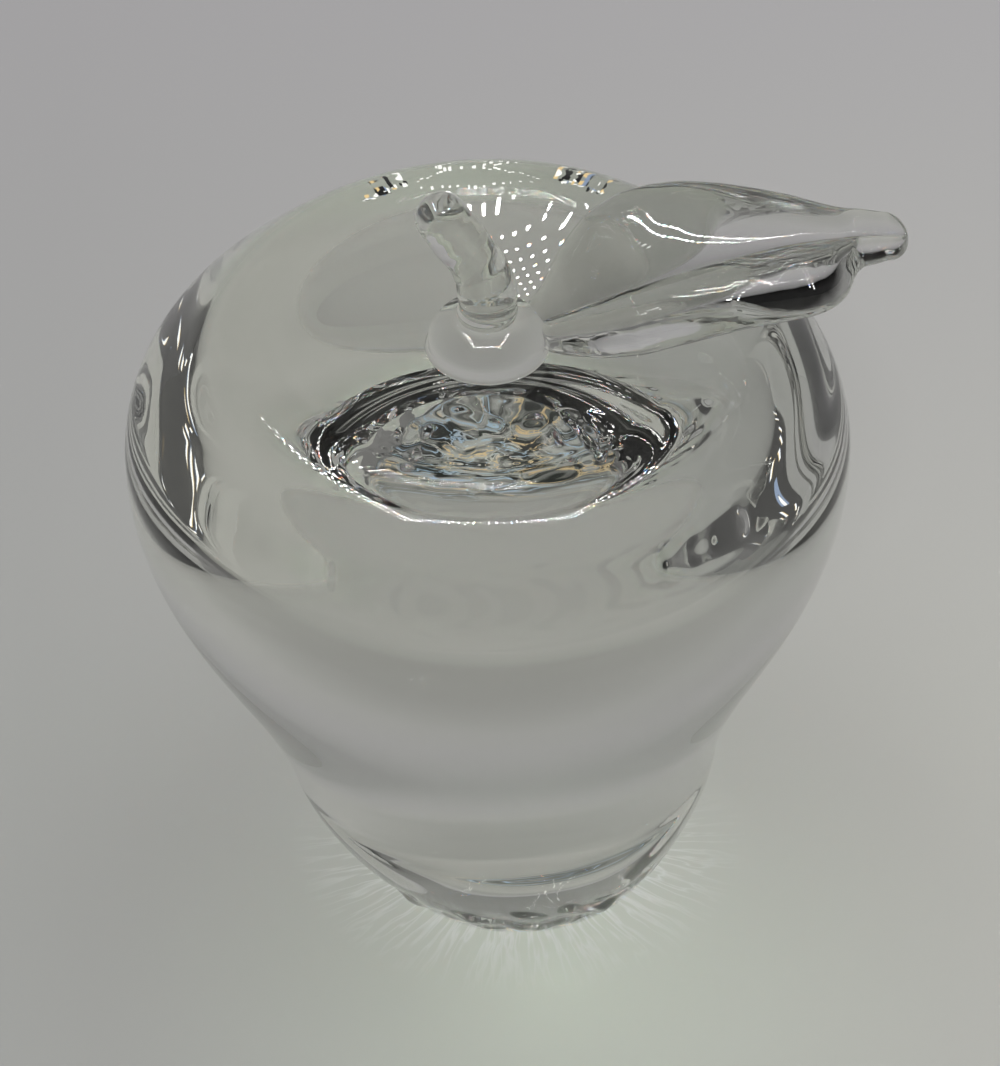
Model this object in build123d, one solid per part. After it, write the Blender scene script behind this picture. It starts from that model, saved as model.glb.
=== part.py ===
"""Solid glass apple: body, pad, stem and leaf, hot-fused face to face (millimetres, +Z up)."""
import math
import os

from build123d import *

# Body: side profile from the ground base up to the rim of the top dish
body_height = 79.5          # base to the top of the rim
base_radius = 16.4          # flat ground base
base_angle = 50.0           # heel leaves the base edge at this angle, degrees
heel_pull = 5.0             # how far the heel keeps that angle
ankle_radius = 25.2         # narrow stretch above the heel
ankle_height = 17.0
ankle_angle = 79.0          # side slope at the ankle, degrees
ankle_pull = 6.0            # how far the ankle slope reaches down
belly_pull = 18.0           # how far the ankle slope reaches up
belly_fullness = 16.0       # how far the upright side reaches down from the widest level
max_radius = 41.0           # widest level
shoulder_fullness = 5.5     # how far the upright side reaches up from the widest level
bevel_rise = 11.1           # widest level to the middle of the sloping shoulder
bevel_radius = 35.6         # middle of the sloping shoulder
bevel_angle = 45.0          # slope there, degrees
bevel_below = 4.0           # how far that slope reaches down
bevel_above = 5.3           # how far that slope reaches up
rim_rise = 5.9              # middle of the sloping shoulder to the top of the rim
rim_radius = 25.3           # highest circle, round the dish
rim_outward = 5.1           # how far the level top of the rim reaches outwards
rim_inward = 1.2            # how far the level top of the rim reaches inwards
lip_radius = 22.6           # inner end of the rim, where the dish begins
lip_drop = 0.32             # top of the rim to that place
lip_angle = 11.0            # slope into the dish there, degrees
lip_above = 0.8             # how far that slope reaches outwards
lip_below = 9.0             # how far that slope reaches inwards
dish_depth = 3.1            # top of the rim to the middle of the dish
dish_floor = 7.0            # how far the level floor reaches out from the axis
foot_offset = 3.0           # hand-made lean: the upper body's axis lies this far to the left of the base

# Pad: round gob of glass in the middle of the dish
pad_radius = 6.6
pad_height = 4.9            # dish floor to the seat of the stem
pad_waist = 1.6             # height of the pad's widest level above the dish floor
pad_side_pull = 1.5         # how far the upright side reaches up from there
pad_seat_pull = 0.8         # how far the level seat reaches out over the crown
pad_sink = 1.0              # rough stock below the dish floor, trimmed away by the body

# Stem: S-curved rod with a rounded end
stem_foot_radius = 3.3
stem_swell_radius = 3.4
stem_waist_radius = 2.9
stem_tip_radius = 2.95
stem_rise = 13.9            # seat to the centre of the rounded end
stem_lean = 4.8             # rounded end leans this far to the left
stem_upright = 5.4          # height over which the stem stays upright
stem_bow = 0.7              # slight bow to the right in the upright stretch
stem_turn = 7.8             # height at which the lean is settled
stem_turn_shift = 1.2       # sideways place of the turn

# Leaf: solid blade with a pressed crease, rooted on the right side of the pad
leaf_length = 39.8          # root to the middle of the rounded tip
leaf_rise_angle = 18.0      # crease slope above level, degrees
leaf_arch = 2.0             # crease bows upwards by this much
leaf_arch_place = 0.68      # share of the length at which the bow is highest
leaf_root_reach = 5.4       # root face to the axis of the pad
leaf_root_drop = 3.2        # crease at the root to the seat of the stem
leaf_crease_back = 1.8      # crease lies this far behind the axis of the pad
leaf_roll = -3.8            # section turned about the crease, far side down, degrees
near_reach = 8.25           # near roll, crease to its outermost line
near_level = 1.9            # that line lies this far below the crease
near_angle = 36.0           # near roll rises from the crease at this angle, degrees
near_pull = 4.0             # how far it keeps that angle
near_above = 4.4            # how far the upright outer side of the roll reaches up
near_below = 3.2            # how far it reaches down
under_depth = 3.7           # glass under the crease
under_angle = 16.5          # slope of the underside there, degrees
under_near = 5.2            # how far that slope reaches towards the near roll
under_far = 7.7             # how far it reaches towards the far blade
far_reach = 13.3            # far blade, crease to its outermost line
far_level = 2.2             # that line lies this far above the crease
far_angle = 56.5            # far blade rises from the crease at this angle, degrees
far_pull = 5.0              # how far it keeps that angle
far_above = 5.2             # how far the upright edge of the blade reaches up
far_below = 2.4             # how far it reaches down

# Heights that follow from the sizes above
rim_height = body_height
bevel_height = rim_height - rim_rise
widest_height = bevel_height - bevel_rise
dish_height = rim_height - dish_depth
seat_height = dish_height + pad_height
axis_x = -foot_offset


def slope(angle, length):
    """Step of a given length at an angle above level, in the side profile."""
    turn = math.radians(angle)
    return Vector(length * math.cos(turn), 0, length * math.sin(turn))


def lean_at(height):
    """Sideways place of the body's centre: nought at the base, settled at the widest level."""
    below = max(0.0, 1.0 - height / widest_height)
    return axis_x * (1.0 - below ** 3)


def lower_body():
    """Heel, ankle and belly: round sections along the side profile, leaning off the base."""
    base_edge = Vector(base_radius, 0, 0)
    ankle = Vector(ankle_radius, 0, ankle_height)
    widest = Vector(max_radius, 0, widest_height)
    heel_curve = Bezier(
        base_edge, base_edge + slope(base_angle, heel_pull), ankle - slope(ankle_angle, ankle_pull), ankle
    )
    belly_curve = Bezier(
        ankle, ankle + slope(ankle_angle, belly_pull), widest - Vector(0, 0, belly_fullness), widest
    )
    heel_steps = 5
    belly_steps = 8
    points = [heel_curve @ (i / heel_steps) for i in range(heel_steps)]
    points += [belly_curve @ (i / belly_steps) for i in range(belly_steps + 1)]
    sections = [Pos(lean_at(p.Z), 0, p.Z) * Circle(p.X) for p in points]
    return loft(sections)


def upper_body():
    """Shoulder, rim and dish, turned about the upright axis."""
    floor_centre = Vector(0, 0, widest_height)
    widest = Vector(max_radius, 0, widest_height)
    bevel = Vector(bevel_radius, 0, bevel_height)
    rim = Vector(rim_radius, 0, rim_height)
    lip = Vector(lip_radius, 0, rim_height - lip_drop)
    dish_centre = Vector(0, 0, dish_height)
    outline = [
        Line(floor_centre, widest),
        Bezier(
            widest, widest + Vector(0, 0, shoulder_fullness), bevel + slope(-bevel_angle, bevel_below), bevel
        ),
        Bezier(bevel, bevel - slope(-bevel_angle, bevel_above), rim + Vector(rim_outward, 0, 0), rim),
        Bezier(rim, rim - Vector(rim_inward, 0, 0), lip + slope(lip_angle, lip_above), lip),
        Bezier(lip, lip - slope(lip_angle, lip_below), dish_centre + Vector(dish_floor, 0, 0), dish_centre),
        Line(dish_centre, floor_centre),
    ]
    return Pos(axis_x, 0, 0) * revolve(make_face(outline), Axis.Z)


def apple_body():
    """One gather of glass: ground base, tapered belly, round shoulder and shallow dish."""
    return lower_body() + upper_body()


def leaf_plane(along):
    """Plane across the leaf at a distance from its root, with x to the far edge and y out of the blade."""
    turn = math.radians(leaf_rise_angle)
    forward = Vector(math.cos(turn), 0, math.sin(turn))
    upward = Vector(-math.sin(turn), 0, math.cos(turn))
    root = Vector(axis_x + leaf_root_reach, leaf_crease_back, seat_height - leaf_root_drop)
    share = along / leaf_length
    peak = leaf_arch_place
    bow = leaf_arch * (1.0 - ((share - peak) / (peak if share < peak else 1.0 - peak)) ** 2)
    roll = math.radians(leaf_roll)
    across = Vector(0, math.cos(roll), 0) + upward * math.sin(roll)
    return Plane(origin=root + forward * along + upward * bow, x_dir=across, z_dir=forward)


def stem_pad(body):
    """Round gob with a flat seat for the stem and a flat facet for the leaf."""
    low = Vector(pad_radius, 0, dish_height - pad_sink)
    waist = Vector(pad_radius, 0, dish_height + pad_waist)
    seat_edge = Vector(stem_foot_radius, 0, seat_height)
    crown = Bezier(
        waist,
        waist + Vector(0, 0, pad_side_pull),
        seat_edge + Vector(pad_seat_pull, 0, 0),
        seat_edge,
    )
    bottom = Vector(0, 0, low.Z)
    top = Vector(0, 0, seat_height)
    outline = [Line(bottom, low), Line(low, waist), crown, Line(seat_edge, top), Line(top, bottom)]
    gob = Pos(axis_x, 0, 0) * revolve(make_face(outline), Axis.Z)
    beyond_facet = leaf_plane(0.0) * Box(
        4 * pad_radius, 4 * pad_radius, 4 * pad_radius, align=(Align.CENTER, Align.CENTER, Align.MIN)
    )
    return gob - beyond_facet - body


def stem():
    """S-curved rod: round sections along a curved line, closed by a ball."""
    start = Vector(axis_x, 0, seat_height)
    line = Bezier(
        start,
        start + Vector(stem_bow, 0, stem_upright),
        start + Vector(-stem_turn_shift, 0, stem_turn),
        start + Vector(-stem_lean, 0, stem_rise),
    )
    radii = {
        0.0: stem_foot_radius,
        0.25: stem_swell_radius,
        0.6: stem_waist_radius,
        0.8: 0.5 * (stem_waist_radius + stem_swell_radius),
        1.0: stem_tip_radius,
    }
    sections = []
    for place, radius in radii.items():
        level = place == 0.0
        across = Plane(origin=line @ place, z_dir=(0, 0, 1) if level else line % place)
        sections.append(across * Circle(radius))
    return loft(sections) + Pos(*(line @ 1.0)) * Sphere(stem_tip_radius)


def leaf_section(along, near, far):
    """Closed outline across the leaf: a fat roll and a domed blade that meet at the crease."""

    def place(out, up, scale):
        return Vector(out * scale, up * scale)

    def turned(angle, length, scale):
        turn = math.radians(angle)
        return place(length * math.cos(turn), length * math.sin(turn), scale)

    middle = 0.5 * (near + far)
    crease = place(0.0, 0.0, middle)
    near_line = place(-near_reach, -near_level, near)
    under = place(0.0, -under_depth, middle)
    far_line = place(far_reach, far_level, far)
    outline = [
        Bezier(
            crease,
            crease + turned(180.0 - near_angle, near_pull, near),
            near_line + place(0.0, near_above, near),
            near_line,
        ),
        Bezier(
            near_line,
            near_line - place(0.0, near_below, near),
            under - turned(under_angle, under_near, near),
            under,
        ),
        Bezier(
            under,
            under + turned(under_angle, under_far, far),
            far_line - place(0.0, far_below, far),
            far_line,
        ),
        Bezier(
            far_line,
            far_line + place(0.0, far_above, far),
            crease + turned(far_angle, far_pull, far),
            crease,
        ),
    ]
    return leaf_plane(along) * make_face(outline)


def leaf():
    """Creased blade from the pad's facet, clear of the dish, to a rounded drop at the tip."""
    # Share of the length, size of the near roll and of the far blade against their full size
    stations = [
        (0.000, 0.30, 0.20),
        (0.080, 0.56, 0.58),
        (0.180, 0.79, 0.90),
        (0.300, 0.97, 1.02),
        (0.450, 1.03, 0.96),
        (0.600, 1.06, 0.79),
        (0.720, 1.11, 0.61),
        (0.800, 1.11, 0.48),
        (0.860, 1.01, 0.38),
        (0.900, 0.83, 0.32),
        (0.930, 0.57, 0.30),
        (0.960, 0.45, 0.28),
        (1.020, 0.37, 0.24),
        (1.055, 0.27, 0.17),
        (1.075, 0.12, 0.10),
    ]
    return loft([leaf_section(share * leaf_length, near, far) for share, near, far in stations])


os.makedirs("parts", exist_ok=True)
body = apple_body()
export_step(body, "parts/apple_body.step")
export_step(stem_pad(body), "parts/stem_pad.step")
export_step(stem(), "parts/stem.step")
export_step(leaf(), "parts/leaf.step")
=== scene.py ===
import math

import bpy
import numpy as np
from mathutils import Matrix, Vector


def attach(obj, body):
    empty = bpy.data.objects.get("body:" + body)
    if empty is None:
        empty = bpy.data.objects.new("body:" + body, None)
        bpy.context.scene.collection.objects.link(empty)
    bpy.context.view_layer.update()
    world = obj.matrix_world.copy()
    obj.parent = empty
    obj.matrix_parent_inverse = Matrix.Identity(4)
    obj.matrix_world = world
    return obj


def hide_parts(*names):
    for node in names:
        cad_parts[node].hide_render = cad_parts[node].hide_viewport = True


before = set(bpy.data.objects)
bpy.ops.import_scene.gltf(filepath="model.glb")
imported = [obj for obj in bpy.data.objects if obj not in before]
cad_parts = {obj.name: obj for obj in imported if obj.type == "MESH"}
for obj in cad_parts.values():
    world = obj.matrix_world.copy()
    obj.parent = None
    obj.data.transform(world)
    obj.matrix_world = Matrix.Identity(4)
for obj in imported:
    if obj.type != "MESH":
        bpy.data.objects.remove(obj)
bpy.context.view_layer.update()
scene = bpy.context.scene

MM = 0.001

# Body in millimetres and degrees, the same sizes as those of the solids
AXIS_X = -3.0               # the upper body's axis lies to the left of the middle of the base
BASE_R = 16.4
BASE_ANGLE, HEEL_PULL = 50.0, 5.0
ANKLE_R, ANKLE_Z = 25.2, 17.0
ANKLE_ANGLE, ANKLE_PULL, BELLY_PULL = 79.0, 6.0, 18.0
WIDEST_R, WIDEST_Z = 41.0, 62.5
BELLY_FULLNESS, SHOULDER_FULLNESS = 16.0, 5.5
BEVEL_R, BEVEL_Z = 35.6, 73.6
BEVEL_ANGLE, BEVEL_BELOW, BEVEL_ABOVE = 45.0, 4.0, 5.3
RIM_R, RIM_Z = 25.3, 79.5
RIM_OUTWARD, RIM_INWARD = 5.1, 1.2
LIP_R, LIP_DROP = 22.6, 0.32
LIP_ANGLE, LIP_ABOVE, LIP_BELOW = 11.0, 0.8, 9.0
DISH_Z, DISH_FLOOR = 76.4, 7.0

# Places where the other pieces meet
PAD_R = 6.6
PAD_SKIRT_R = 6.95          # the pad spreads to this radius where it meets the dish
SEAT_Z = 81.3
STEM_FOOT_R = 3.3
GAP = 0.002                 # fused faces lie this far apart so that light meets them one after the other

# Fineness of the meshes
HEEL_STEPS, BELLY_STEPS, SHOULDER_STEPS, BEVEL_STEPS, LIP_STEPS = 60, 130, 50, 90, 45
BASE_STEPS, OUTER_DISH_STEPS, INNER_DISH_STEPS, SEAT_STEPS = 26, 60, 30, 18
BODY_SEG, PAD_SEG, STEM_SEG = 384, 288, 144
TABLE_STEPS = 1201
HALVINGS = 60
POLE_R = 1e-6               # a ring smaller than this is a point


# Curves
def bezier(p0, p1, p2, p3, at):
    """Points of a curve, at so many even steps or at the given shares."""
    t = (np.linspace(0.0, 1.0, at) if np.isscalar(at) else np.asarray(at, float))[:, None]
    p0, p1, p2, p3 = (np.asarray(p, float) for p in (p0, p1, p2, p3))
    return (1 - t) ** 3 * p0 + 3 * (1 - t) ** 2 * t * p1 + 3 * (1 - t) * t * t * p2 + t ** 3 * p3


def step(angle, length):
    """Step of a given length at an angle above level."""
    a = math.radians(angle)
    return np.array((length * math.cos(a), length * math.sin(a)))


def smooth_table(places, values, at, blur):
    """Values between the given places without overshoot, with softened corners."""
    fine = np.linspace(at[0], at[-1], TABLE_STEPS)
    line = np.interp(fine, places, values)
    width = max(1, int(blur / (fine[1] - fine[0])))
    kernel = np.hanning(2 * width + 3)
    kernel /= kernel.sum()
    for _ in range(2):
        padded = np.concatenate((np.full(width + 1, line[0]), line, np.full(width + 1, line[-1])))
        line = np.convolve(padded, kernel, mode="valid")
    return np.interp(at, fine, line)


# Side profile of the body: radius and height
up = np.array((0.0, 1.0))
out = np.array((1.0, 0.0))
base_edge = np.array((BASE_R, 0.0))
ankle = np.array((ANKLE_R, ANKLE_Z))
widest = np.array((WIDEST_R, WIDEST_Z))
bevel = np.array((BEVEL_R, BEVEL_Z))
rim = np.array((RIM_R, RIM_Z))
lip = np.array((LIP_R, RIM_Z - LIP_DROP))
dish_ends = (lip, lip - step(LIP_ANGLE, LIP_BELOW), np.array((DISH_FLOOR, DISH_Z)), np.array((0.0, DISH_Z)))
heel_line = bezier(base_edge, base_edge + step(BASE_ANGLE, HEEL_PULL),
                   ankle - step(ANKLE_ANGLE, ANKLE_PULL), ankle, HEEL_STEPS)
belly_line = bezier(ankle, ankle + step(ANKLE_ANGLE, BELLY_PULL),
                    widest - BELLY_FULLNESS * up, widest, BELLY_STEPS)
shoulder_line = bezier(widest, widest + SHOULDER_FULLNESS * up,
                       bevel + step(-BEVEL_ANGLE, BEVEL_BELOW), bevel, SHOULDER_STEPS)
bevel_line = bezier(bevel, bevel - step(-BEVEL_ANGLE, BEVEL_ABOVE), rim + RIM_OUTWARD * out, rim, BEVEL_STEPS)
lip_line = bezier(rim, rim - RIM_INWARD * out, lip + step(LIP_ANGLE, LIP_ABOVE), lip, LIP_STEPS)


def lean_at(z):
    """Sideways place of the body's centre: nought at the base, settled at the widest level."""
    below = np.clip(1.0 - np.asarray(z) / WIDEST_Z, 0.0, None)
    return AXIS_X * (1.0 - below ** 3)


def dish_points(radii):
    """Exact points of the dish at the given radii."""
    radii = np.asarray(radii, float)
    low, high = np.zeros(len(radii)), np.ones(len(radii))
    for _ in range(HALVINGS):
        mid = 0.5 * (low + high)
        wide = bezier(*dish_ends, mid)[:, 0] > radii
        low, high = np.where(wide, mid, low), np.where(wide, high, mid)
    return np.stack((radii, bezier(*dish_ends, high)[:, 1]), axis=1)


# Meshes
def signed_volume(mesh):
    """Volume inside the faces: below nought if they point inwards."""
    mesh.calc_loop_triangles()
    co = np.array([v.co for v in mesh.vertices])
    tri = np.array([t.vertices for t in mesh.loop_triangles])
    a, b, c = co[tri[:, 0]], co[tri[:, 1]], co[tri[:, 2]]
    return float(np.einsum("ij,ij->i", a, np.cross(b, c)).sum() / 6.0)


def make_object(name, verts, faces, materials, slots=None):
    mesh = bpy.data.meshes.new(name)
    mesh.from_pydata([tuple(v) for v in np.asarray(verts) * MM], [], faces)
    for material in materials:
        mesh.materials.append(material)
    if slots is not None:
        mesh.polygons.foreach_set("material_index", np.asarray(slots, np.int32))
    mesh.polygons.foreach_set("use_smooth", np.ones(len(mesh.polygons), bool))
    mesh.update()
    if signed_volume(mesh) < 0.0:
        mesh.flip_normals()
    obj = bpy.data.objects.new(name, mesh)
    scene.collection.objects.link(obj)
    return obj


def sharp_between_slots(obj, creases=()):
    """Edges where two materials meet stay crisp, and so do those between the given points."""
    mesh = obj.data
    creases = set(creases)
    seen = {}
    for poly in mesh.polygons:
        for key in poly.edge_keys:
            seen.setdefault(key, set()).add(poly.material_index)
    sharp = np.array([
        len(seen.get(tuple(sorted(e.vertices)), ())) > 1 or creases.issuperset(e.vertices) for e in mesh.edges
    ], bool)
    attr = mesh.attributes.get("sharp_edge") or mesh.attributes.new("sharp_edge", "BOOLEAN", "EDGE")
    attr.data.foreach_set("value", sharp)


def rings_to_mesh(rings):
    """Joins rings of equal length into a skin; a one-point ring is a pole."""
    verts = []
    starts = []
    for ring in rings:
        starts.append((len(verts), len(ring)))
        verts.extend(ring)
    faces = []
    bands = []
    for band, ((a, na), (b, nb)) in enumerate(zip(starts[:-1], starts[1:])):
        n = max(na, nb)
        for k in range(n):
            k2 = (k + 1) % n
            if na == 1:
                faces.append((a, b + k2, b + k))
            elif nb == 1:
                faces.append((a + k, a + k2, b))
            else:
                faces.append((a + k, a + k2, b + k2, b + k))
            bands.append(band)
    return verts, faces, np.array(bands)


def lathe_rings(line, centre, segments):
    """Rings of a turned shape; centre gives the middle of each ring."""
    angle = np.linspace(0.0, 2 * math.pi, segments, endpoint=False)
    rings = []
    for (r, z), cx in zip(line, centre):
        if r < POLE_R:
            rings.append([(cx, 0.0, z)])
        else:
            rings.append(np.stack((cx + r * np.cos(angle), r * np.sin(angle), np.full(segments, z)), axis=1))
    return rings


# Materials: two clear glasses, and a joint between fused faces that does not bend light
GLASS_IOR, JOINT_IOR = 1.54, 1.0


def glass_material(name, tint, ior):
    mat = bpy.data.materials.new(name)
    mat.use_nodes = True
    bsdf = mat.node_tree.nodes["Principled BSDF"]
    bsdf.inputs["Base Color"].default_value = (*tint, 1.0)
    bsdf.inputs["Roughness"].default_value = 0.0
    bsdf.inputs["IOR"].default_value = ior
    bsdf.inputs["Transmission Weight"].default_value = 1.0
    return mat


body_glass = glass_material("body_glass", (0.84, 0.848, 0.81), GLASS_IOR)
applied_glass = glass_material("applied_glass", (0.96, 0.965, 0.945), GLASS_IOR)
fused = glass_material("fused_joint", (1.0, 1.0, 1.0), JOINT_IOR)

# Body
base_line = np.stack((np.linspace(0.0, BASE_R, BASE_STEPS), np.zeros(BASE_STEPS)), axis=1)
outer_dish_r = np.linspace(LIP_R, PAD_SKIRT_R, OUTER_DISH_STEPS)
inner_dish_r = np.linspace(PAD_SKIRT_R, 0.0, INNER_DISH_STEPS)
body_line = np.vstack((
    base_line, heel_line[1:], belly_line[1:], shoulder_line[1:], bevel_line[1:], lip_line[1:],
    dish_points(outer_dish_r)[1:], dish_points(inner_dish_r)[1:],
))
body_rings = lathe_rings(body_line, lean_at(body_line[:, 1]), BODY_SEG)

# Hand-worked glass: faint waves all over the side, and uneven dents round the foot that fade out above it
WAVE_COUNT, WAVES_ROUND, WAVE_TWIST, WAVE_DEPTH = 12, (2, 8), 0.16, 0.12
WAVE_FROM_Z, WAVE_FROM_R = (8.0, 20.0), (21.0, 8.0)     # where the waves set in, and over what stretch
DENT_COUNT, DENTS_ROUND, DENT_TWIST, DENT_DEPTH = 30, (5, 31), 1.2, 0.26
DENT_FROM_R = (14.0, 2.4)
HEEL_TOP, HEEL_FADE, HEEL_POWER = 10.5, 6.0, 1.5
rng = np.random.default_rng(7)
round_body = np.linspace(0.0, 2 * math.pi, BODY_SEG, endpoint=False)
outward = np.stack((np.cos(round_body), np.sin(round_body), 0 * round_body), axis=1)


def draw_ripples(count, rounds, twist):
    """For each ripple: how many to a turn, its twist per millimetre of height, and its start."""
    return [(rng.integers(*rounds), rng.uniform(-twist, twist), rng.uniform(0.0, 2 * math.pi))
            for _ in range(count)]


def ripple_sum(ripples, depth, z):
    """How far the ripples move the side outwards at one height."""
    return sum(np.cos(n * round_body + kz * z + p) for n, kz, p in ripples) * depth / math.sqrt(len(ripples))


def fade_in(value, start, stretch):
    """Rises from nought to one over a stretch."""
    return np.clip((value - start) / stretch, 0.0, 1.0)


waves = draw_ripples(WAVE_COUNT, WAVES_ROUND, WAVE_TWIST)
dents = draw_ripples(DENT_COUNT, DENTS_ROUND, DENT_TWIST)
for k, (r, z) in enumerate(body_line):
    wave_share = fade_in(z, *WAVE_FROM_Z) * fade_in(r, *WAVE_FROM_R)
    dent_share = fade_in(r, *DENT_FROM_R) * fade_in(-z, -HEEL_TOP, HEEL_FADE) ** HEEL_POWER
    for share, ripples, depth in ((wave_share, waves, WAVE_DEPTH), (dent_share, dents, DENT_DEPTH)):
        if share > 0.0:
            body_rings[k] = body_rings[k] + (share * ripple_sum(ripples, depth, z))[:, None] * outward
verts, faces, bands = rings_to_mesh(body_rings)
first_inner = len(body_line) - len(inner_dish_r)
body = make_object("body", verts, faces, [body_glass, fused], (bands >= first_inner).astype(int))
sharp_between_slots(body)

# Pad: skirt, side, crown and flat seat
SKIRT_TOE, SKIRT_PULL, SKIRT_TOP, SKIRT_STEPS = (0.05, 0.06), 0.35, 0.8, 30
PAD_WAIST, SIDE_STEPS = 1.6, 12             # height of the widest level above the dish floor
CROWN_SIDE, CROWN_SEAT, CROWN_STEPS = 0.45, 0.25, 80    # shares that the crown stays upright and level
skirt_z = float(dish_points([PAD_SKIRT_R])[0, 1])
side_line = bezier((PAD_SKIRT_R, skirt_z), (PAD_R + SKIRT_TOE[0], skirt_z + SKIRT_TOE[1]),
                   (PAD_R, skirt_z + SKIRT_PULL), (PAD_R, skirt_z + SKIRT_TOP), SKIRT_STEPS)
waist = np.array((PAD_R, DISH_Z + PAD_WAIST))
seat_edge = np.array((STEM_FOOT_R, SEAT_Z))
crown_line = bezier(waist, waist + CROWN_SIDE * (SEAT_Z - waist[1]) * up,
                    seat_edge + CROWN_SEAT * (PAD_R - STEM_FOOT_R) * out, seat_edge, CROWN_STEPS)
under_line = dish_points(inner_dish_r[::-1]) + (0.0, GAP)
seat_line = np.stack((np.linspace(STEM_FOOT_R, 0.0, SEAT_STEPS), np.full(SEAT_STEPS, SEAT_Z)), axis=1)
upright = np.linspace(side_line[-1], waist, SIDE_STEPS)
pad_line = np.vstack((under_line, side_line[1:], upright[1:], crown_line[1:], seat_line[1:]))
pad_rings = lathe_rings(pad_line, np.full(len(pad_line), AXIS_X), PAD_SEG)
pad_verts, pad_faces, bands = rings_to_mesh(pad_rings)
pad_slots = ((bands < len(under_line) - 1) | (bands >= len(pad_line) - len(seat_line))).astype(int)
pad_side = np.vstack((side_line, upright[1:], crown_line[1:]))


def pad_radius(z):
    order = np.argsort(pad_side[:, 1])
    return np.interp(z, pad_side[order, 1], pad_side[order, 0], right=0.0)


# Stem: round rod along an S-curve, with a rounded end
STEM_BOW, STEM_TURN, STEM_END = (0.7, 0, 5.4), (-1.2, 0, 7.8), (-4.8, 0, 13.9)      # from the foot
STEM_TIP_R = 2.95
STEM_LEVEL = 2.5                            # over this length the sections turn from level to square
STEM_BLUR = 0.35
FOOT_LENGTH, FOOT_RINGS, ROD_RINGS, END_RINGS, CURVE_STEPS = 2.2, 26, 90, 26, 800
foot = np.array((AXIS_X, 0.0, SEAT_Z + GAP))
stem_curve = bezier(foot, foot + STEM_BOW, foot + STEM_TURN, foot + STEM_END, CURVE_STEPS)
run = np.concatenate(([0.0], np.cumsum(np.linalg.norm(np.diff(stem_curve, axis=0), axis=1))))
length = run[-1]
at_foot = np.linspace(0.0, FOOT_LENGTH, FOOT_RINGS)
at = np.concatenate((at_foot, np.linspace(FOOT_LENGTH, length, ROD_RINGS)[1:]))
stem_places = (0.0, 0.5, 1.0, 1.7, 3.6, 8.6, 11.6, length)
stem_radii = (3.30, 3.42, 3.36, 3.24, 3.40, 2.90, 3.12, STEM_TIP_R)
radius = smooth_table(stem_places, stem_radii, at, STEM_BLUR)
radius[0] = STEM_FOOT_R
centre = np.stack([np.interp(at, run, stem_curve[:, k]) for k in range(3)], axis=1)
tangent = np.gradient(stem_curve, run, axis=0)
tangent = np.stack([np.interp(at, run, tangent[:, k]) for k in range(3)], axis=1)
level = np.clip(at / STEM_LEVEL, 0.0, 1.0)[:, None]
tangent = tangent * level + np.array((0.0, 0.0, 1.0)) * (1 - level)
tangent /= np.linalg.norm(tangent, axis=1)[:, None]
round_stem = np.linspace(0.0, 2 * math.pi, STEM_SEG, endpoint=False)
across = np.array((0.0, 1.0, 0.0))


def round_ring(c, t, r):
    """Circle of the stem, square to the direction t."""
    side = np.cross(across, t)
    side /= np.linalg.norm(side)
    return c + r * (np.cos(round_stem)[:, None] * side + np.sin(round_stem)[:, None] * across)


stem_rings = [[tuple(foot)]]
stem_rings += [round_ring(foot, tangent[0], r) for r in np.linspace(0.0, STEM_FOOT_R, SEAT_STEPS)[1:-1]]
stem_cap = len(stem_rings)
stem_rings += [round_ring(c, t, r) for c, t, r in zip(centre, tangent, radius)]
end, ahead = centre[-1], tangent[-1]
for turn in np.linspace(0.0, math.pi / 2, END_RINGS)[1:-1]:
    tip_middle = end + ahead * STEM_TIP_R * math.sin(turn)
    stem_rings.append(round_ring(tip_middle, ahead, STEM_TIP_R * math.cos(turn)))
stem_rings.append([tuple(end + ahead * STEM_TIP_R)])
verts, faces, bands = rings_to_mesh(stem_rings)
stem = make_object("stem", verts, faces, [applied_glass, fused], (bands < stem_cap).astype(int))
sharp_between_slots(stem)

# Leaf: two thick blades that meet at the midrib crease
LEAF_LENGTH = 39.8
ROOT_REACH, CREASE_BACK, ROOT_DROP = 5.4, 1.8, 3.2      # start of the crease, from the pad's axis and seat
LEAF_RISE, LEAF_ROLL = math.radians(18.0), math.radians(-3.8)
LEAF_ARCH, LEAF_ARCH_PLACE = 2.0, 0.68
LEAF_END = 1.02                             # share of the length at which the rounded tip begins
LEAF_TIP = 0.06                             # length of that tip, as a share
LEAF_RINGS, TIP_RINGS, LEAF_STEPS = 260, 30, 48
LEAF_ABOVE = 0.03                           # the leaf stays at least this far above the body
forward = np.array((math.cos(LEAF_RISE), 0.0, math.sin(LEAF_RISE)))
upward = np.array((-math.sin(LEAF_RISE), 0.0, math.cos(LEAF_RISE)))
root = np.array((AXIS_X + ROOT_REACH, CREASE_BACK, SEAT_Z - ROOT_DROP))

# Scale of the near roll and of the far blade along the leaf
near_shares = (0.0, 0.08, 0.18, 0.30, 0.45, 0.60, 0.70, 0.78, 0.83,
               0.865, 0.89, 0.905, 0.917, 0.930, 0.95, 0.99, 1.02)
near_scale = (0.40, 0.62, 0.83, 0.98, 1.03, 1.06, 1.11, 1.12, 1.08,
              1.00, 0.90, 0.79, 0.66, 0.54, 0.46, 0.42, 0.37)
far_shares = (0.0, 0.05, 0.107, 0.19, 0.286, 0.38, 0.48, 0.59, 0.70, 0.786, 0.844, 0.907, 0.99, 1.02)
far_scale = (0.20, 0.45, 0.71, 0.93, 1.02, 1.01, 0.94, 0.80, 0.63, 0.50, 0.40, 0.31, 0.27, 0.24)
NEAR_BLUR, FAR_BLUR = 0.012, 0.03

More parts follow.
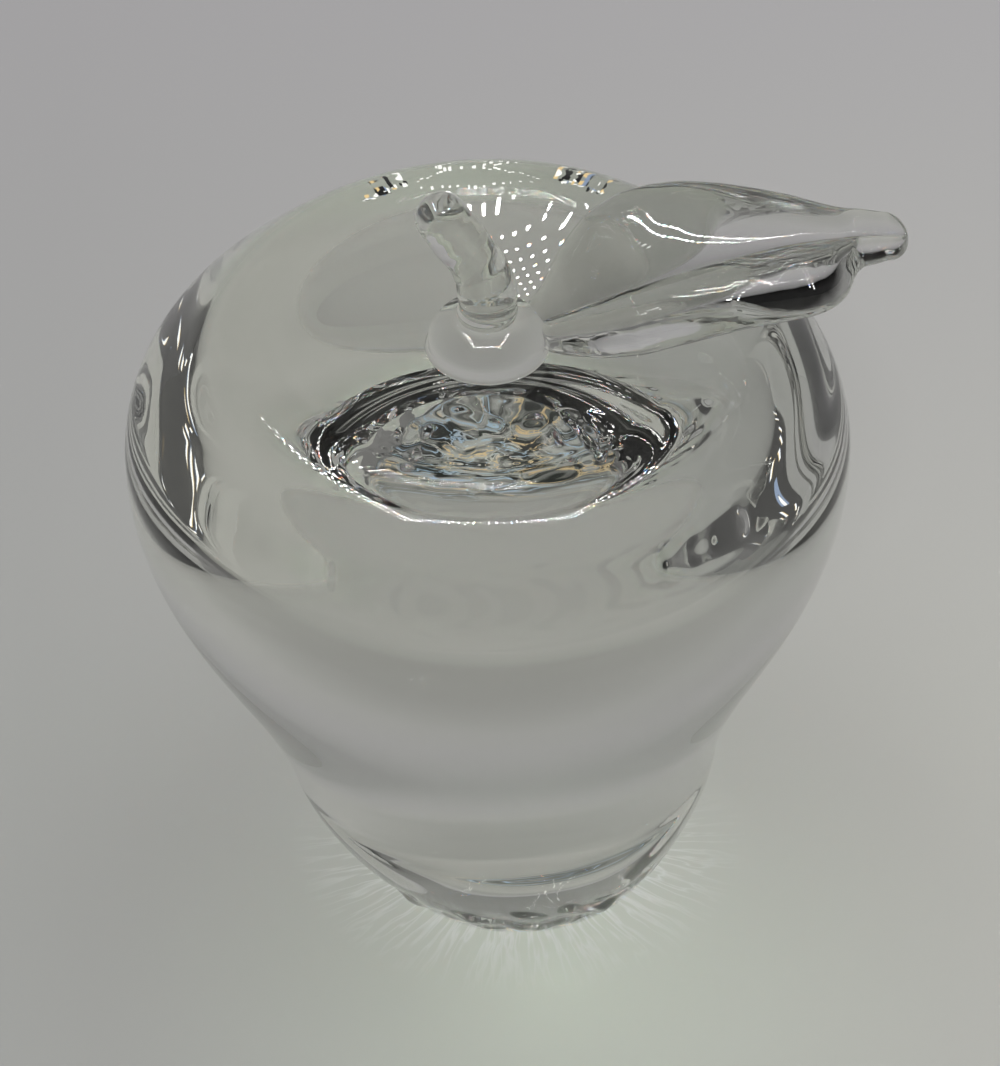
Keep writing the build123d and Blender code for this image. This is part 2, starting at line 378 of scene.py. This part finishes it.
# Section across the leaf, from the crease: a fat roll on the near side, a domed blade on the far side
NEAR_LINE, FAR_LINE, UNDER = np.array((-8.25, -1.9)), np.array((13.3, 2.2)), np.array((0.0, -3.7))
NEAR_ANGLE, NEAR_PULL, NEAR_ABOVE, NEAR_BELOW = 144.0, 4.0, 4.4, 3.2
UNDER_ANGLE, UNDER_NEAR, UNDER_FAR = 16.5, 5.2, 7.7
FAR_ANGLE, FAR_PULL, FAR_ABOVE, FAR_BELOW = 56.5, 5.0, 5.2, 2.4


def leaf_section(near, far):
    """Outline across the leaf, with its two sides at their own scales."""
    crease = np.zeros(2)
    near_line, far_line, under = NEAR_LINE * near, FAR_LINE * far, UNDER * 0.5 * (near + far)
    curves = (
        (crease, crease + step(NEAR_ANGLE, NEAR_PULL * near), near_line + NEAR_ABOVE * near * up, near_line),
        (near_line, near_line - NEAR_BELOW * near * up, under - step(UNDER_ANGLE, UNDER_NEAR * near), under),
        (under, under + step(UNDER_ANGLE, UNDER_FAR * far), far_line - FAR_BELOW * far * up, far_line),
        (far_line, far_line + FAR_ABOVE * far * up, crease + step(FAR_ANGLE, FAR_PULL * far), crease),
    )
    flat = np.vstack([bezier(*c, LEAF_STEPS + 1)[:-1] for c in curves])
    c, s = math.cos(LEAF_ROLL), math.sin(LEAF_ROLL)
    return flat @ np.array(((c, s), (-s, c)))


def midrib(share):
    """Point of the crease, which bows upwards."""
    half = LEAF_ARCH_PLACE if share < LEAF_ARCH_PLACE else 1.0 - LEAF_ARCH_PLACE
    bow = LEAF_ARCH * (1.0 - ((share - LEAF_ARCH_PLACE) / half) ** 2)
    return root + forward * share * LEAF_LENGTH + upward * bow


body_top = np.vstack((bevel_line, lip_line[1:], dish_points(outer_dish_r)[1:]))[::-1]


def above_body(points):
    """Lifts the leaf's root onto the dish where it would sink in."""
    points = np.array(points, float)
    reach = np.hypot(points[:, 0] - AXIS_X, points[:, 1])
    points[:, 2] = np.maximum(points[:, 2], np.interp(reach, body_top[:, 0], body_top[:, 1]) + LEAF_ABOVE)
    return points


def leaf_ring(share, near, far):
    sec = leaf_section(near, far)
    return above_body(midrib(share) + sec[:, :1] * across + sec[:, 1:] * upward)


leaf_share = np.linspace(0.0, LEAF_END, LEAF_RINGS)
near_w = smooth_table(near_shares, near_scale, leaf_share, NEAR_BLUR)
far_w = smooth_table(far_shares, far_scale, leaf_share, FAR_BLUR)
leaf_rings = [leaf_ring(share, n, f) for share, n, f in zip(leaf_share, near_w, far_w)]
for turn in np.linspace(0.0, math.pi / 2, TIP_RINGS)[1:-1]:
    k = math.cos(turn)
    leaf_rings.append(leaf_ring(LEAF_END + LEAF_TIP * math.sin(turn), near_w[-1] * k, far_w[-1] * k))
leaf_rings.append([tuple(midrib(LEAF_END + LEAF_TIP))])

# The root's first rings slide onto the pad, and a cap inside them follows the pad's skin
ROOT_BACK, ROOT_AHEAD = -6.0, 3.0           # farthest that a point slides
BLEND_RINGS, CAP_STEPS = 14, 16


def shift_to_pad(points):
    """How far points of the leaf's root slide along the leaf until they lie on the pad."""
    low, high = np.full(len(points), ROOT_BACK), np.full(len(points), ROOT_AHEAD)
    for _ in range(HALVINGS):
        mid = 0.5 * (low + high)
        q = points + forward * mid[:, None]
        outside = np.hypot(q[:, 0] - AXIS_X, q[:, 1]) > pad_radius(q[:, 2]) + GAP
        high = np.where(outside, mid, high)
        low = np.where(outside, low, mid)
    return high[:, None]


root_ring = leaf_rings[0]
shift = shift_to_pad(root_ring)
for k in range(BLEND_RINGS):
    leaf_rings[k] = leaf_rings[k] + forward * (shift * (1.0 - k / BLEND_RINGS) ** 2)
middle = root_ring.mean(axis=0)
cap = [middle[None] + forward * shift_to_pad(middle[None])]
for share in np.linspace(0.0, 1.0, CAP_STEPS)[1:-1]:
    ring = middle + (root_ring - middle) * share
    cap.append(ring + forward * shift_to_pad(ring))
verts, faces, bands = rings_to_mesh(cap + leaf_rings)
leaf = make_object("leaf", verts, faces, [applied_glass, fused], (bands < len(cap)).astype(int))
first = sum(len(ring) for ring in cap)
around = len(root_ring)
crease_points = range(first, first + around * (len(leaf_rings) - TIP_RINGS), around)
sharp_between_slots(leaf, crease_points)


# The pad's skin inside the leaf's root is part of the fused joint
def inside(points, ring):
    """Which flat points lie inside a closed ring."""
    hit = np.zeros(len(points), bool)
    x, y = points[:, 0], points[:, 1]
    for (x0, y0), (x1, y1) in zip(ring, np.roll(ring, -1, axis=0)):
        cross = (y0 > y) != (y1 > y)
        with np.errstate(divide="ignore", invalid="ignore"):
            hit ^= cross & (x < (x1 - x0) * (y - y0) / (y1 - y0) + x0)
    return hit


def seen_along_leaf(points):
    return np.stack(((points - root) @ across, (points - root) @ upward), axis=1)


pad_xyz = np.asarray(pad_verts, float)
face_middles = np.array([pad_xyz[list(f)].mean(axis=0) for f in pad_faces])
under_leaf = inside(seen_along_leaf(face_middles), seen_along_leaf(root_ring)) & (face_middles[:, 0] > AXIS_X)
pad_slots = np.where(under_leaf, 1, pad_slots)
pad = make_object("pad", pad_verts, pad_faces, [applied_glass, fused], pad_slots)
sharp_between_slots(pad)

for piece, node, slot in ((body, "apple_body", "body_glass"), (pad, "stem_pad", "applied_glass"),
                          (stem, "stem", "applied_glass"), (leaf, "leaf", "applied_glass")):
    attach(piece, "root")
    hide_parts(node)


# Shader nodes
def add_node(tree, kind, **inputs):
    node = tree.nodes.new(kind)
    for name, value in inputs.items():
        node.inputs[name.replace("_", " ")].default_value = value
    return node


def math_node(tree, operation, first, second, clamp=True):
    """Math node whose inputs are sockets or plain numbers.

    Differences and products are kept between nought and one, unless clamp is off.
    """
    node = tree.nodes.new("ShaderNodeMath")
    node.operation = operation
    node.use_clamp = clamp and operation in ("SUBTRACT", "MULTIPLY")
    for socket, value in zip(node.inputs, (first, second)):
        if isinstance(value, (int, float)):
            socket.default_value = value
        else:
            tree.links.new(value, socket)
    return node.outputs["Value"]


def ramp_node(tree, value, low, high):
    """Rises from nought to one between two values."""
    node = add_node(tree, "ShaderNodeMapRange", From_Min=low, From_Max=high)
    tree.links.new(value, node.inputs["Value"])
    return node.outputs["Result"]


def mix_node(tree, factor, first, second):
    """Colour between two colours or sockets."""
    node = tree.nodes.new("ShaderNodeMix")
    node.data_type = "RGBA"
    tree.links.new(factor, node.inputs["Factor"])
    for key, value in (("A", first), ("B", second)):
        if isinstance(value, tuple):
            node.inputs[key].default_value = (*value, 1.0)
        else:
            tree.links.new(value, node.inputs[key])
    return node.outputs["Result"]


def vector_node(tree, operation, first, second=None):
    node = tree.nodes.new("ShaderNodeVectorMath")
    node.operation = operation
    for socket, value in zip(node.inputs, (first, second)):
        if isinstance(value, tuple):
            socket.default_value = value
        elif value is not None:
            tree.links.new(value, socket)
    return node.outputs["Value" if operation == "LENGTH" else "Vector"]


def noise_node(tree, spot, **settings):
    node = add_node(tree, "ShaderNodeTexNoise", **settings)
    tree.links.new(spot, node.inputs["Vector"])
    return node


def distance_node(tree, place, spot):
    return vector_node(tree, "LENGTH", vector_node(tree, "SUBTRACT", place, spot))


def ridge_node(tree, noise, edge, core):
    """Thin bright lines where the noise is near its middle value."""
    away = math_node(tree, "ABSOLUTE", math_node(tree, "SUBTRACT", noise.outputs["Fac"], 0.5, False), 0.0)
    return ramp_node(tree, away, edge, core)


def axes_of(tree, vector):
    axes = add_node(tree, "ShaderNodeSeparateXYZ")
    tree.links.new(vector, axes.inputs["Vector"])
    return axes.outputs["X"], axes.outputs["Y"], axes.outputs["Z"]


# Two dark flags in front, left and right of the camera: sideways reach for each step towards the camera
# The flags have no body of their own: the floor is painted dark for the glass, and the world is dark there
FLAG_INNER, FLAG_OUTER, FLAG_DARK = (0.0, 0.38), (0.50, 1.20), 0.35
FLAG_LEFT = 0.80            # reach to the left counts by this share, so the left flag stands further out
LEAST_AHEAD = 1e-5


def dark_flags(tree, x, y):
    """How dark the two flags make each direction, with soft edges; nought elsewhere."""
    wide = math_node(tree, "MAXIMUM", x, math_node(tree, "MULTIPLY", x, -FLAG_LEFT, False))
    ahead = math_node(tree, "MAXIMUM", math_node(tree, "MULTIPLY", y, -1.0, False), LEAST_AHEAD)
    spread = math_node(tree, "DIVIDE", wide, ahead)
    inner, outer = ramp_node(tree, spread, *FLAG_INNER), ramp_node(tree, spread, *FLAG_OUTER)
    return math_node(tree, "MULTIPLY", math_node(tree, "SUBTRACT", inner, outer), FLAG_DARK)


# Feathers of light round the foot: how finely they divide and change outwards, how they wander, their width
FAN_RAYS, FAN_ALONG = 15.0, 60.0
FAN_BEND, FAN_WANDER = 170.0, 0.9
FAN_FINENESS, FAN_EDGE, FAN_POWER = 1.25, 0.085, 1.4


def fan_of_light(tree, place, reach):
    """Thin bright feathers that fan out round the foot, where the apple gathers the light."""
    rays = vector_node(tree, "MULTIPLY", vector_node(tree, "NORMALIZE", place), (FAN_RAYS, FAN_RAYS, 0.0))
    along = tree.nodes.new("ShaderNodeCombineXYZ")
    tree.links.new(math_node(tree, "MULTIPLY", reach, FAN_ALONG, False), along.inputs["Z"])
    bend = noise_node(tree, place, Scale=FAN_BEND, Detail=1.0)
    wander = vector_node(tree, "MULTIPLY", bend.outputs["Color"], (FAN_WANDER, FAN_WANDER, 0.0))
    spot = vector_node(tree, "ADD", vector_node(tree, "ADD", rays, along.outputs["Vector"]), wander)
    feathers = noise_node(tree, spot, Scale=FAN_FINENESS, Detail=2.0)
    return math_node(tree, "POWER", ridge_node(tree, feathers, FAN_EDGE, 0.0), FAN_POWER)


# Painted streaks of light and shade under the foot: how finely they divide, how they wander, and their
# colours
STREAK_FINENESS = (190.0, 430.0, 0.0)
STREAK_BEND, STREAK_WANDER = 160.0, 2.2
STREAK_SHADE, STREAK_LIGHT, STREAK_PATCH = (0.05, 0.055, 0.05), (0.62, 0.63, 0.60), (0.43, 0.58)
STREAK_AMBER, STREAK_BLUE, STREAK_HUE = (1.0, 0.78, 0.45), (0.60, 0.80, 1.0), (0.44, 0.56)
STREAK_LINE = (0.03, 0.008)


def light_under_foot(tree, place):
    """Bright streaks and shade behind and under the foot, where light comes down through the glass."""
    bend = noise_node(tree, place, Scale=STREAK_BEND, Detail=2.0)
    wander = vector_node(tree, "MULTIPLY", bend.outputs["Color"], (STREAK_WANDER, STREAK_WANDER, 0.0))
    spot = vector_node(tree, "ADD", vector_node(tree, "MULTIPLY", place, STREAK_FINENESS), wander)
    patches = noise_node(tree, spot, Scale=1.0, Detail=4.0, Roughness=0.65)
    shade = mix_node(tree, ramp_node(tree, patches.outputs["Fac"], *STREAK_PATCH), STREAK_SHADE, STREAK_LIGHT)
    lines = noise_node(tree, spot, Scale=1.6, Detail=3.0)
    hue = noise_node(tree, spot, Scale=0.8, Detail=1.0)
    bright = mix_node(tree, ramp_node(tree, hue.outputs["Fac"], *STREAK_HUE), STREAK_AMBER, STREAK_BLUE)
    return mix_node(tree, ridge_node(tree, lines, *STREAK_LINE), shade, bright)


# Stage floor: colours, with painted light and shade, and places in metres from the middle of the base
FLOOR_Z, FLOOR_HALF = -0.1, 4000.0          # in millimetres
FLOOR_ROUGHNESS = 0.65
FLOOR_BACK = ((0.495, 0.485, 0.495), (0.54, 0.53, 0.54))       # left and right
FLOOR_FRONT = ((0.49, 0.495, 0.475), (0.62, 0.62, 0.58))
FLOOR_FAR = (0.40, 0.395, 0.40)
FLOOR_GLOW = (0.83, 0.90, 0.775)
FLOOR_PAINTED_LIGHT = (0.59, 0.59, 0.565)
FLOOR_SHADE = (0.29, 0.29, 0.275)
FLOOR_THREAD = (0.95, 0.97, 0.95)
FLOOR_DARK = (0.01, 0.01, 0.01)
LEFT_TO_RIGHT, FRONT_TO_BACK, BACK_TO_FAR = (-0.06, 0.06), (0.02, 0.17), (0.17, 0.42)
GLOW_SPOT, GLOW_REACH, GLOW_POWER, GLOW_SHARE = (0.004, -0.024, 0.0), (0.055, 0.0), 1.5, 0.9
SHADE_SPOT, SHADE_REACH, SHADE_SHARE = (0.003, 0.072, 0.0), (0.048, 0.012), 0.40
PAINTED_LIGHT_SPOT, PAINTED_LIGHT_REACH = (-0.006, 0.038, 0.0), (0.018, 0.006)
THREAD_REACH, THREAD_POWER, THREAD_SHARE = (0.0275, 0.0165), 1.2, 0.7
THREAD_FRONT = (0.008, -0.006)
STREAK_REACH, STREAK_BACK = (0.027, 0.021), (0.005, 0.011)
FOOT_REACH = (0.0168, 0.0158)
FLAG_FOOT = (-0.19, -0.165)                 # the flags stand on the floor beyond here


def floor_material():
    """Pale floor with painted light and shade round the foot; the glass sees dark flags painted on it in
    front.
    """
    mat = bpy.data.materials.new("floor")
    mat.use_nodes = True
    tree = mat.node_tree
    bsdf = tree.nodes["Principled BSDF"]
    bsdf.inputs["Roughness"].default_value = FLOOR_ROUGHNESS
    bsdf.inputs["Specular IOR Level"].default_value = 0.0
    coord = add_node(tree, "ShaderNodeTexCoord")
    camera_ray = add_node(tree, "ShaderNodeLightPath").outputs["Is Camera Ray"]
    place = vector_node(tree, "MULTIPLY", coord.outputs["Object"], (1.0, 1.0, 0.0))
    x, y, _ = axes_of(tree, place)
    reach = vector_node(tree, "LENGTH", place)

    # Colours from left to right and from front to back, with a painted glow in front and painted shade behind
    sideways = ramp_node(tree, x, *LEFT_TO_RIGHT)
    front, rear = mix_node(tree, sideways, *FLOOR_FRONT), mix_node(tree, sideways, *FLOOR_BACK)
    colour = mix_node(tree, ramp_node(tree, y, *FRONT_TO_BACK), front, rear)
    glow = ramp_node(tree, distance_node(tree, place, GLOW_SPOT), *GLOW_REACH)
    glow = math_node(tree, "MULTIPLY", math_node(tree, "POWER", glow, GLOW_POWER), GLOW_SHARE)
    colour = mix_node(tree, glow, colour, FLOOR_GLOW)
    shade = ramp_node(tree, distance_node(tree, place, SHADE_SPOT), *SHADE_REACH)
    colour = mix_node(tree, math_node(tree, "MULTIPLY", shade, SHADE_SHARE), colour, FLOOR_SHADE)
    # Painted light on the floor just behind the foot, which the glass shows through the dish
    behind = ramp_node(tree, distance_node(tree, place, PAINTED_LIGHT_SPOT), *PAINTED_LIGHT_REACH)
    colour = mix_node(tree, behind, colour, FLOOR_PAINTED_LIGHT)
    colour = mix_node(tree, ramp_node(tree, y, *BACK_TO_FAR), colour, FLOOR_FAR)

    # Feathers of light in front of the foot
    near_foot = math_node(tree, "POWER", ramp_node(tree, reach, *THREAD_REACH), THREAD_POWER)
    in_front = math_node(tree, "MULTIPLY", near_foot, ramp_node(tree, y, *THREAD_FRONT))
    threads = math_node(tree, "MULTIPLY", fan_of_light(tree, place, reach), in_front)
    colour = mix_node(tree, math_node(tree, "MULTIPLY", threads, THREAD_SHARE), colour, FLOOR_THREAD)

    # Painted streaks of light and shade under the foot, and behind it where only the glass sees them
    streaks = ramp_node(tree, reach, *STREAK_REACH)
    streaks = math_node(tree, "MULTIPLY", streaks, ramp_node(tree, y, *STREAK_BACK))
    streaks = math_node(tree, "SUBTRACT", streaks, camera_ray)
    under = math_node(tree, "MAXIMUM", streaks, ramp_node(tree, reach, *FOOT_REACH))
    colour = mix_node(tree, under, colour, light_under_foot(tree, place))

    # Painted dark: beyond the flags' foot the floor turns near black for all but camera rays
    beyond = math_node(tree, "SUBTRACT", 1.0, ramp_node(tree, y, *FLAG_FOOT))
    dark = math_node(tree, "MULTIPLY", dark_flags(tree, x, y), beyond)
    dark = math_node(tree, "SUBTRACT", dark, camera_ray)
    tree.links.new(mix_node(tree, dark, colour, FLOOR_DARK), bsdf.inputs["Base Color"])
    return mat


corner_signs = ((-1, -1), (1, -1), (1, 1), (-1, 1))
floor_corners = [(FLOOR_HALF * sx, FLOOR_HALF * sy, FLOOR_Z) for sx, sy in corner_signs]
floor = make_object("floor", floor_corners, [(0, 1, 2, 3)], [floor_material()])

# Colours of the lamps and cards: name, colour and strength
WHITE, RED, GREEN, BLUE, PALE, AMBER, SKY, BLACK = range(8)
LAMP_STRENGTH = 150.0
LIGHTS = (
    ("lamp_white", (1.0, 1.0, 1.0), LAMP_STRENGTH),
    ("lamp_red", (1.0, 0.25, 0.12), LAMP_STRENGTH),
    ("lamp_green", (0.50, 1.0, 0.45), LAMP_STRENGTH),
    ("lamp_blue", (0.20, 0.42, 1.0), LAMP_STRENGTH),
    ("card_pale", (1.0, 1.0, 0.98), 1.5),
    ("card_amber", (1.0, 0.74, 0.38), 1.1),
    ("card_sky", (0.55, 0.70, 1.0), 0.6),
    ("card_black", (1.0, 1.0, 1.0), 0.02),
)


def light_material(name, colour, strength):
    mat = bpy.data.materials.new(name)
    mat.use_nodes = True
    tree = mat.node_tree
    tree.nodes.remove(tree.nodes["Principled BSDF"])
    glow = add_node(tree, "ShaderNodeEmission", Color=(*colour, 1.0), Strength=strength)
    tree.links.new(glow.outputs["Emission"], tree.nodes["Material Output"].inputs["Surface"])
    return mat


lights = [light_material(*light) for light in LIGHTS]


def make_cards(name, cards):
    """Small flat lights or cards, each from its middle, its two half-sides and its colour."""
    corners, slots = [], []
    for middle, half_a, half_b, slot in cards:
        m, a, b = (np.asarray(v, float) for v in (middle, half_a, half_b))
        corners += [m - a - b, m - a + b, m + a + b, m + a - b]
        slots.append(slot)
    faces = [(i, i + 1, i + 2, i + 3) for i in range(0, len(corners), 4)]
    obj = make_object(name, corners, faces, lights, slots)
    obj.visible_camera = False
    obj.visible_diffuse = False
    return obj


# Lamp dots: a frame with two rows of small lights above the apple, higher in front and open at the back,
# and a grid of tiny lights behind it
LAMP_HALF = 150.0
LAMP_FRONT = np.array((-170.0, 448.0))      # y and z of the front side
LAMP_BACK = np.array((155.0, 333.0))        # y and z at the back end of the left side
LAMP_ROW_GAP = 0.11                         # second row lies this share further out
LAMP_COUNT = 24
LAMP_STOP = 60.0                            # the right side stops sooner, at this y
FRONT_DOT, SIDE_DOT, SPARK_DOT = (2.4, 1.5), (1.5, 2.8), (0.7, 0.7)     # half-sides along x and y
HIGH_Z = 430.0                              # height of the tiny lights and of the soft cards
SPARK_X, SPARK_Y = np.linspace(-66.0, 10.0, 13), np.linspace(196.0, 290.0, 12)      # grid of tiny lights
SPARK_SHIFT = 3.0                           # every other row of the grid is shifted
lamp_places = []                            # middle and half-sides of each dot
lamp_middle = 0.5 * (LAMP_FRONT + LAMP_BACK)
for grow in (1.0, 1.0 + LAMP_ROW_GAP):
    front_y, front_z = lamp_middle + grow * (LAMP_FRONT - lamp_middle)
    back_y, back_z = lamp_middle + grow * (LAMP_BACK - lamp_middle)
    half = grow * LAMP_HALF
    for share in (np.arange(LAMP_COUNT) + 0.5) / LAMP_COUNT:
        lamp_places.append((half * (2 * share - 1), front_y, front_z, *FRONT_DOT))
        y, z = front_y + share * (back_y - front_y), front_z + share * (back_z - front_z)
        lamp_places.append((-half, y, z, *SIDE_DOT))
        if y < LAMP_STOP:
            lamp_places.append((half, y, z, *SIDE_DOT))
for row, y in enumerate(SPARK_Y):
    lamp_places += [(x + SPARK_SHIFT * (row % 2), y, HIGH_Z, *SPARK_DOT) for x in SPARK_X]

# Every fifth dot is split into three colours
SPLIT_EVERY, SPLIT_FIRST = 5, 2
lamp_cards = []
for k, (x, y, z, hx, hy) in enumerate(lamp_places):
    if k % SPLIT_EVERY != SPLIT_FIRST:
        lamp_cards.append(((x, y, z), (hx, 0, 0), (0, hy, 0), WHITE))
for x, y, z, hx, hy in lamp_places[SPLIT_FIRST::SPLIT_EVERY]:
    for slot, share in ((RED, -2 / 3), (GREEN, 0.0), (BLUE, 2 / 3)):
        lamp_cards.append(((x, y + share * hy, z), (hx, 0, 0), (0, hy / 3, 0), slot))

# Soft cards high at the back right, split into colours, for the glints at the left shoulder
SOFT_CARDS = ((215, 285, 13, 15), (262, 262, 15, 18), (305, 235, 12, 16),
              (345, 190, 16, 14), (100, 311, 11, 9), (150, 310, 10, 12))    # middle and half-sides
SOFT_STRIPES = ((SKY, -0.72, 0.16), (PALE, 0.0, 0.55), (AMBER, 0.72, 0.16))     # place and half-width, shares
for x, y, hx, hy in SOFT_CARDS:
    for slot, share, width in SOFT_STRIPES:
        lamp_cards.append(((x + share * hx, y, HIGH_Z), (hx * width, 0, 0), (0, hy, 0), slot))
leds = make_cards("lamp_dots", lamp_cards)

# Small cards on the floor in front, seen only through the glass:
# the bright and dark dashes in the far side of the rim
DASH_COUNT, DASH_LEFT, DASH_Y, DASH_Z, DASH_SAG = 26, -13.0, -36.3, 0.05, 0.012
SECOND_BACK, SECOND_SAG = 7.3, 0.03         # a second row behind every other dash
SIDE_COUNT, SIDE_Y, SIDE_Z, SIDE_LIFT = 34, -36.9, 0.04, 0.002
SIDE_STRETCHES = ((1.0, 14.5, 9.5), (-1.0, 16.5, 10.5))         # side, nearest place and length
SIDE_COLOURS = (PALE, BLACK, PALE, BLACK, AMBER, BLACK, PALE, SKY)
SLANT_SHARE = 0.3

# Ranges of the random draws: how far a card lies off its place, its slant and its half-sides
DASH_OFF_X, DASH_OFF_Y, SIDE_OFF_Y = (-0.3, 0.3), (-0.35, 0.35), (-1.5, 1.3)
SLANT = (-0.35, 0.35)
DASH_HALF_X, DASH_HALF_Y = (0.12, 0.45), (0.08, 0.2)
SECOND_HALF_X, SECOND_HALF_Y = (0.12, 0.4), (0.15, 0.4)
SIDE_HALF_X, SIDE_HALF_Y = (0.1, 0.6), (0.15, 0.9)
draw = np.random.default_rng(3).uniform
dashes = []
for k in range(DASH_COUNT):
    x = DASH_LEFT + k + draw(*DASH_OFF_X)
    y = DASH_Y + draw(*DASH_OFF_Y) - DASH_SAG * x * x
    dashes.append(((x, y, DASH_Z), (draw(*DASH_HALF_X), 0, 0), (0, draw(*DASH_HALF_Y), 0), PALE))
    if k % 2:
        y = y - SECOND_BACK + SECOND_SAG * x * x
        dashes.append(((x, y, DASH_Z), (draw(*SECOND_HALF_X), 0, 0), (0, draw(*SECOND_HALF_Y), 0), PALE))
for side, nearest, stretch in SIDE_STRETCHES:
    for k in range(SIDE_COUNT):
        x = side * (nearest + stretch * draw())
        slant = draw(*SLANT)
        y = SIDE_Y + draw(*SIDE_OFF_Y)
        half_a, half_b = (draw(*SIDE_HALF_X), slant, 0), (-SLANT_SHARE * slant, draw(*SIDE_HALF_Y), 0)
        dashes.append(((x, y, SIDE_Z + SIDE_LIFT * k), half_a, half_b, SIDE_COLOURS[k % len(SIDE_COLOURS)]))
rim_cards = make_cards("rim_cards", dashes)
rim_cards.visible_glossy = False
rim_cards.visible_shadow = False

# Soft light from above and a fill without shadows; the glass shows neither
SOFTBOX_PLACE, SOFTBOX_SIZE, SOFTBOX_POWER = Vector((0.0, 0.15, 1.3)), (1.2, 1.0), 2.5
FILL_STRENGTH, FILL_ANGLE = 1.79, math.radians(60.0)
softbox = bpy.data.objects.new("top_softbox", bpy.data.lights.new("top_softbox", "AREA"))
softbox.data.shape = "RECTANGLE"
softbox.data.size, softbox.data.size_y = SOFTBOX_SIZE
softbox.data.energy = SOFTBOX_POWER
softbox.location = SOFTBOX_PLACE
softbox.rotation_euler = (-SOFTBOX_PLACE).to_track_quat("-Z", "Y").to_euler()
fill = bpy.data.objects.new("fill", bpy.data.lights.new("fill", "SUN"))
fill.data.energy = FILL_STRENGTH
fill.data.angle = FILL_ANGLE
fill.data.use_shadow = False
for lamp in (softbox, fill):
    scene.collection.objects.link(lamp)
    lamp.visible_glossy = False
    lamp.visible_transmission = False

# World: pale walls all round, dark flags in front and a dark ceiling, which is less dark at the back right
WALL_COLOUR, WALL_STRENGTH = (1.0, 0.99, 0.98, 1.0), 0.42
WALL_SHARE = 0.50           # share of that strength that the glass sees; the camera sees one whole more
CEILING_Z = (0.22, 0.55)
PANEL_X, PANEL_Y, PANEL_SHARE = (0.05, 0.20), (0.15, 0.30), 0.3
DARKEST = 0.97
world = bpy.data.worlds.new("studio")
scene.world = world
world.use_nodes = True
tree = world.node_tree
back = tree.nodes["Background"]
coord = add_node(tree, "ShaderNodeTexCoord")
camera_ray = add_node(tree, "ShaderNodeLightPath").outputs["Is Camera Ray"]
x, y, z = axes_of(tree, coord.outputs["Generated"])
panel = math_node(tree, "MULTIPLY", ramp_node(tree, x, *PANEL_X), ramp_node(tree, y, *PANEL_Y))
below = math_node(tree, "SUBTRACT", 1.0, math_node(tree, "MULTIPLY", panel, PANEL_SHARE))
ceiling = math_node(tree, "MULTIPLY", ramp_node(tree, z, *CEILING_Z), below)
dark = math_node(tree, "MAXIMUM", dark_flags(tree, x, y), ceiling)
dark = math_node(tree, "SUBTRACT", dark, camera_ray)
lit = math_node(tree, "SUBTRACT", 1.0, math_node(tree, "MULTIPLY", dark, DARKEST))
seen = math_node(tree, "MULTIPLY", math_node(tree, "ADD", camera_ray, WALL_SHARE), WALL_STRENGTH)
back.inputs["Color"].default_value = WALL_COLOUR
tree.links.new(math_node(tree, "MULTIPLY", lit, seen), back.inputs["Strength"])

# Camera at the photograph's angle
ELEVATION, DISTANCE, ROLL = math.radians(42.5), 800.0, math.radians(-0.7)
PX_PER_MM, PHOTO_PX, SENSOR = 8.745, 1000.0, 36.0
AIM = np.array((AXIS_X + 1.18, 0.0, 48.15))
look = np.array((0.0, math.cos(ELEVATION), -math.sin(ELEVATION)))
cam_up = np.array((0.0, math.sin(ELEVATION), math.cos(ELEVATION)))
cam_right = np.array((1.0, 0.0, 0.0))
rolled_right = cam_right * math.cos(ROLL) + cam_up * math.sin(ROLL)
rolled_up = -cam_right * math.sin(ROLL) + cam_up * math.cos(ROLL)
place = (AIM - look * DISTANCE) * MM
camera = bpy.data.objects.new("camera", bpy.data.cameras.new("camera"))
camera_rows = [[rolled_right[k], rolled_up[k], -look[k], place[k]] for k in range(3)]
camera.matrix_world = Matrix(camera_rows + [[0, 0, 0, 1]])
camera.data.sensor_fit = "HORIZONTAL"
camera.data.sensor_width = SENSOR
camera.data.lens = PX_PER_MM * DISTANCE / PHOTO_PX * SENSOR
camera.data.clip_start, camera.data.clip_end = 0.01, 50.0
scene.collection.objects.link(camera)
scene.camera = camera

scene.view_settings.view_transform = "Standard"
scene.cycles.max_bounces = 32
scene.cycles.transmission_bounces = 32
scene.cycles.glossy_bounces = 16
scene.cycles.transparent_max_bounces = 16
